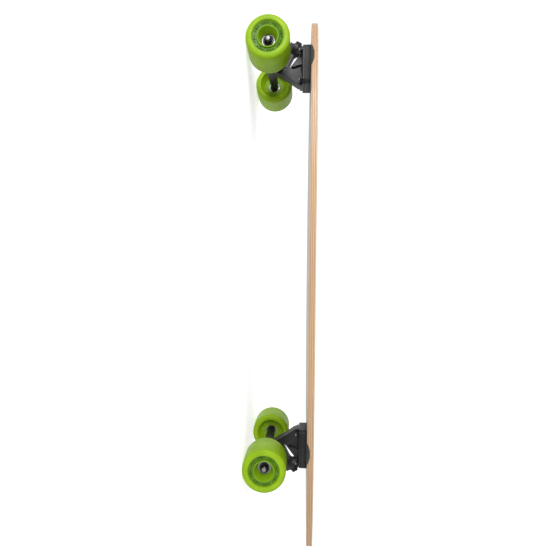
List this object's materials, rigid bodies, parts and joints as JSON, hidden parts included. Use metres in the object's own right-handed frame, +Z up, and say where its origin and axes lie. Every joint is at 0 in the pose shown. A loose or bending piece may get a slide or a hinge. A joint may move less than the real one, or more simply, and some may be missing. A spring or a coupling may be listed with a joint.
{
  "type": "skateboard",
  "caption": "Longboard with a laminated pintail deck, reverse-kingpin trucks that steer on bushings, and wide wheels on ball bearings.",
  "frame": {"origin": "on the ground, under the middle of the deck's length and width", "axes": "+X to the nose, +Y to the rider's left, +Z up; the four wheels stand on z = 0"},
  "size_m": [1, 0.235, 0.1238],
  "materials": {
    "maple": "clear-lacquered maple veneer, lighter and darker plies",
    "grip": "clear abrasive grit over the maple",
    "riser": "matt dark moulded pad",
    "truck_black": "black paint on cast aluminium, satin",
    "steel": "zinc-plated steel",
    "black_steel": "black oxide steel",
    "cup": "black urethane",
    "bushing": "black urethane, satin",
    "bearing_steel": "polished bearing steel",
    "bearing_shield": "bearing ring and pressed shield",
    "wheel_green": "lime green cast urethane, satin",
    "core_green": "lime green moulded core"
  },
  "bodies": {
    "board": {"deck_ply_1": "maple", "deck_ply_2": "maple", "deck_ply_3": "maple", "deck_ply_4": "maple", "deck_ply_5": "maple", "deck_ply_6": "maple", "deck_ply_7": "maple", "grip_tape": "grip", "front_riser_pad": "riser", "front_baseplate": "truck_black", "front_pivot_cup": "cup", "front_kingpin": "steel", "front_kingpin_nut": "steel", "front_boardside_bushing": "bushing", "front_roadside_bushing": "bushing", "front_boardside_washer": "steel", "front_roadside_washer": "steel", "front_mount_bolts": "steel", "front_mount_nuts": "steel", "rear_riser_pad": "riser", "rear_baseplate": "truck_black", "rear_pivot_cup": "cup", "rear_kingpin": "steel", "rear_kingpin_nut": "steel", "rear_boardside_bushing": "bushing", "rear_roadside_bushing": "bushing", "rear_boardside_washer": "steel", "rear_roadside_washer": "steel", "rear_mount_bolts": "steel", "rear_mount_nuts": "steel"},
    "front_truck": {"front_hanger": "truck_black", "front_axle": "steel", "front_axle_nuts": "black_steel", "front_speed_washers": "steel", "front_bearing_spacers": "steel", "front_bearing_inner_rings": "bearing_steel"},
    "front_left_wheel": {"front_left_tyre": "wheel_green", "front_left_core": "core_green", "front_left_bearing_outer_rings": "bearing_shield"},
    "front_left_balls": {"front_left_bearing_balls": "bearing_steel"},
    "front_right_wheel": {"front_right_tyre": "wheel_green", "front_right_core": "core_green", "front_right_bearing_outer_rings": "bearing_shield"},
    "front_right_balls": {"front_right_bearing_balls": "bearing_steel"},
    "rear_truck": {"rear_hanger": "truck_black", "rear_axle": "steel", "rear_axle_nuts": "black_steel", "rear_speed_washers": "steel", "rear_bearing_spacers": "steel", "rear_bearing_inner_rings": "bearing_steel"},
    "rear_left_wheel": {"rear_left_tyre": "wheel_green", "rear_left_core": "core_green", "rear_left_bearing_outer_rings": "bearing_shield"},
    "rear_left_balls": {"rear_left_bearing_balls": "bearing_steel"},
    "rear_right_wheel": {"rear_right_tyre": "wheel_green", "rear_right_core": "core_green", "rear_right_bearing_outer_rings": "bearing_shield"},
    "rear_right_balls": {"rear_right_bearing_balls": "bearing_steel"}
  },
  "joints": [
    {"name": "front_steer", "type": "hinge", "parent": "board", "child": "front_truck", "pos_m": [0.463, 0, 0.0835], "axis": [0.866, 0, 0.5], "range_deg": [-15, 15], "stiffness_Nm_per_rad": 45, "deforming": ["front_boardside_bushing", "front_roadside_bushing"]},
    {"name": "front_left_wheel_spin", "type": "hinge", "parent": "front_truck", "child": "front_left_wheel", "pos_m": [0.426, 0.088, 0.0375], "axis": [0, 1, 0], "continuous": true},
    {"name": "front_left_balls_roll", "type": "hinge", "parent": "front_truck", "child": "front_left_balls", "pos_m": [0.426, 0.088, 0.0375], "axis": [0, 1, 0], "continuous": true},
    {"name": "front_right_wheel_spin", "type": "hinge", "parent": "front_truck", "child": "front_right_wheel", "pos_m": [0.426, -0.088, 0.0375], "axis": [0, 1, 0], "continuous": true},
    {"name": "front_right_balls_roll", "type": "hinge", "parent": "front_truck", "child": "front_right_balls", "pos_m": [0.426, -0.088, 0.0375], "axis": [0, 1, 0], "continuous": true},
    {"name": "rear_steer", "type": "hinge", "parent": "board", "child": "rear_truck", "pos_m": [-0.339, 0, 0.0835], "axis": [-0.866, 0, 0.5], "range_deg": [-15, 15], "stiffness_Nm_per_rad": 45, "deforming": ["rear_boardside_bushing", "rear_roadside_bushing"]},
    {"name": "rear_left_wheel_spin", "type": "hinge", "parent": "rear_truck", "child": "rear_left_wheel", "pos_m": [-0.302, 0.088, 0.0375], "axis": [0, 1, 0], "continuous": true},
    {"name": "rear_left_balls_roll", "type": "hinge", "parent": "rear_truck", "child": "rear_left_balls", "pos_m": [-0.302, 0.088, 0.0375], "axis": [0, 1, 0], "continuous": true},
    {"name": "rear_right_wheel_spin", "type": "hinge", "parent": "rear_truck", "child": "rear_right_wheel", "pos_m": [-0.302, -0.088, 0.0375], "axis": [0, 1, 0], "continuous": true},
    {"name": "rear_right_balls_roll", "type": "hinge", "parent": "rear_truck", "child": "rear_right_balls", "pos_m": [-0.302, -0.088, 0.0375], "axis": [0, 1, 0], "continuous": true}
  ],
  "couplings": [
    {"joint": "front_left_balls_roll", "follows": "front_left_wheel_spin", "ratio": 0.63},
    {"joint": "front_right_balls_roll", "follows": "front_right_wheel_spin", "ratio": 0.63},
    {"joint": "rear_left_balls_roll", "follows": "rear_left_wheel_spin", "ratio": 0.63},
    {"joint": "rear_right_balls_roll", "follows": "rear_right_wheel_spin", "ratio": 0.63}
  ]
}
